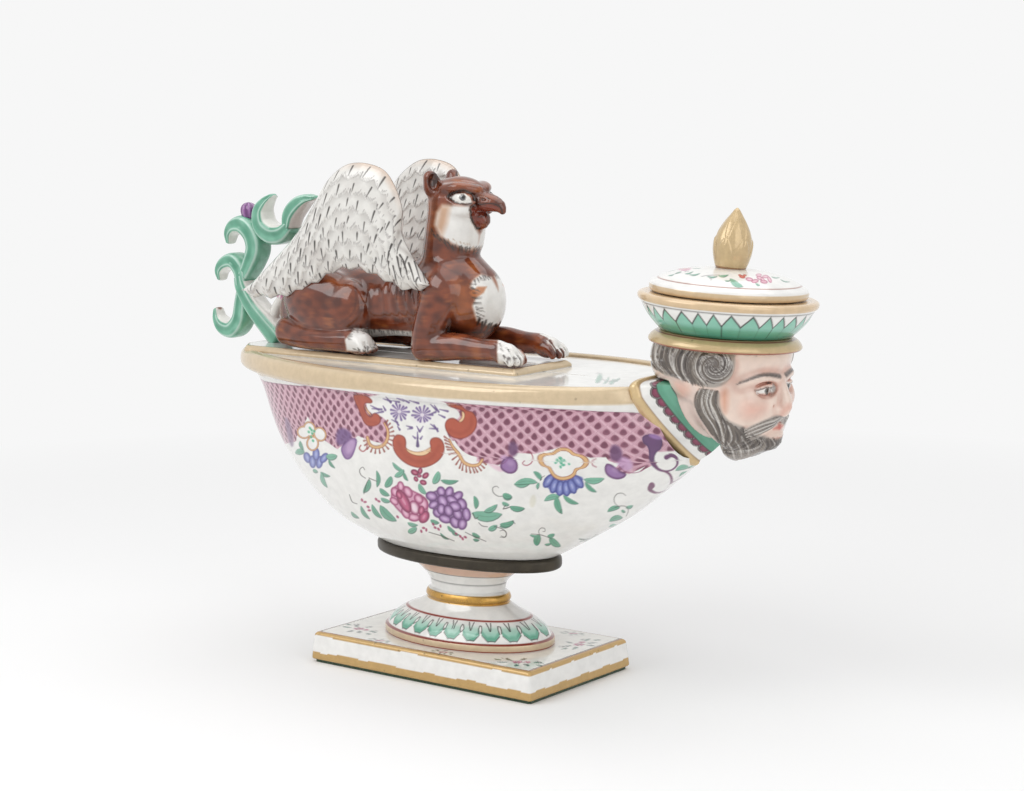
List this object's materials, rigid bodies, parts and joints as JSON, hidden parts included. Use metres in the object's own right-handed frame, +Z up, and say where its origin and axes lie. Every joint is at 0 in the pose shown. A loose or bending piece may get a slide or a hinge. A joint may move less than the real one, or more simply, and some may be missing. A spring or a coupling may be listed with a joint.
{
  "type": "ornamental porcelain lamp",
  "caption": "Porcelain table lamp in the form of an antique oil lamp: boat-shaped bowl on a footed plinth, recumbent griffin, scrolled handle, and a capped head as nozzle with a lift-off lid",
  "frame": {"origin": "middle of the baize's underside, on the surface that the lamp stands on", "axes": "+X from the handle to the head, +Z up, +Y to the lamp's left, seen from behind the handle; the forms mirror across the plane Y = 0"},
  "size_m": [0.2718, 0.096, 0.1877],
  "materials": {
    "baize": "dark green baize, matt",
    "glaze_white": "clear glossy glaze over white porcelain, painted in enamels and gilt",
    "glaze_brown": "glossy streaked red-brown enamel",
    "glaze_green": "glossy pale green enamel with white edges",
    "glaze_puce": "glossy purple-pink enamel",
    "glaze_flesh": "flesh-coloured enamel, softly glossy",
    "gilding": "worn honey gilding, satin, pitted",
    "bronze_disc": "dark bronzed metal, satin",
    "steel": "plain steel bolt, nut and washer",
    "seal": "black sealing washer",
    "brass": "dull brass tube and plate"
  },
  "bodies": {
    "base": {"baize_pad": "baize", "plinth": "glaze_white", "foot": "glaze_white", "joint_disc": "bronze_disc", "tie_bolt": "steel", "sealing_washer": "seal", "tie_washer": "steel", "tie_nut": "steel", "bowl": "glaze_white", "deck": "glaze_white", "griffin_plate": "glaze_white", "griffin_body": "glaze_brown", "griffin_head": "glaze_brown", "griffin_foreleg_left": "glaze_brown", "griffin_foreleg_right": "glaze_brown", "griffin_hindleg_left": "glaze_brown", "griffin_hindleg_right": "glaze_brown", "griffin_wing_left": "glaze_white", "griffin_wing_right": "glaze_white", "handle_stem": "glaze_green", "handle_lower_scroll": "glaze_green", "handle_middle_scroll": "glaze_green", "handle_upper_scroll": "glaze_green", "handle_crest_scroll": "glaze_green", "handle_inner_scroll": "glaze_green", "handle_bud": "glaze_puce", "handle_rosette": "glaze_white", "head": "glaze_flesh", "neck_collar": "glaze_white", "hat_band": "gilding", "nozzle_cup": "glaze_white", "wick_holder": "brass"},
    "lid": {"lid_cover": "glaze_white", "lid_finial": "gilding"}
  },
  "joints": [
    {"name": "lid_lift", "type": "slide", "parent": "base", "child": "lid", "axis": [0.1132, 0, 0.9936], "range_m": [0, 0.035]}
  ]
}
